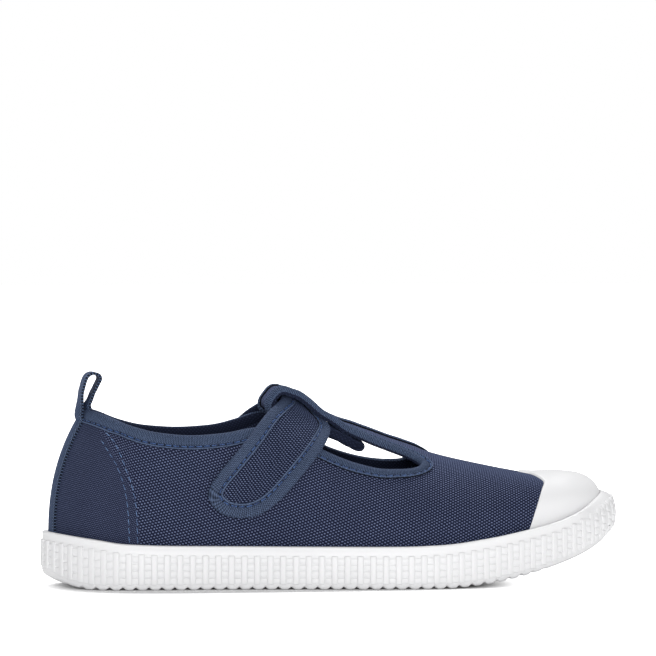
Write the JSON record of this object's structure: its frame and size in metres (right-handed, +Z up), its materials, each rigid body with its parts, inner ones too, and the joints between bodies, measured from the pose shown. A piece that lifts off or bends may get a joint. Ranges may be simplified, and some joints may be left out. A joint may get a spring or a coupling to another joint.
{
  "type": "canvas t-bar plimsoll",
  "caption": "Child's canvas T-bar plimsoll for the right foot, closed by a hook-and-loop strap, with a rubber toe cap, a pull loop at the heel and a white rubber cup sole.",
  "frame": {"origin": "centre of the shoe's footprint box, on the floor the sole stands on", "axes": "+X from heel to toe, +Y to the inner (medial) side, +Z up"},
  "size_m": [0.209, 0.0774, 0.0769],
  "materials": {
    "white_rubber": "satin moulded rubber",
    "cap_rubber": "smooth satin rubber",
    "navy_canvas": "plain weave canvas",
    "strap_canvas": "plain weave canvas with bound edges",
    "navy_lining": "matt textile lining",
    "steel_blue_tape": "woven webbing"
  },
  "bodies": {
    "root": {"outsole": "white_rubber", "insole": "navy_lining", "upper": "navy_canvas", "toe_cap": "cap_rubber", "strap": "strap_canvas", "heel_tape": "steel_blue_tape"}
  },
  "joints": []
}
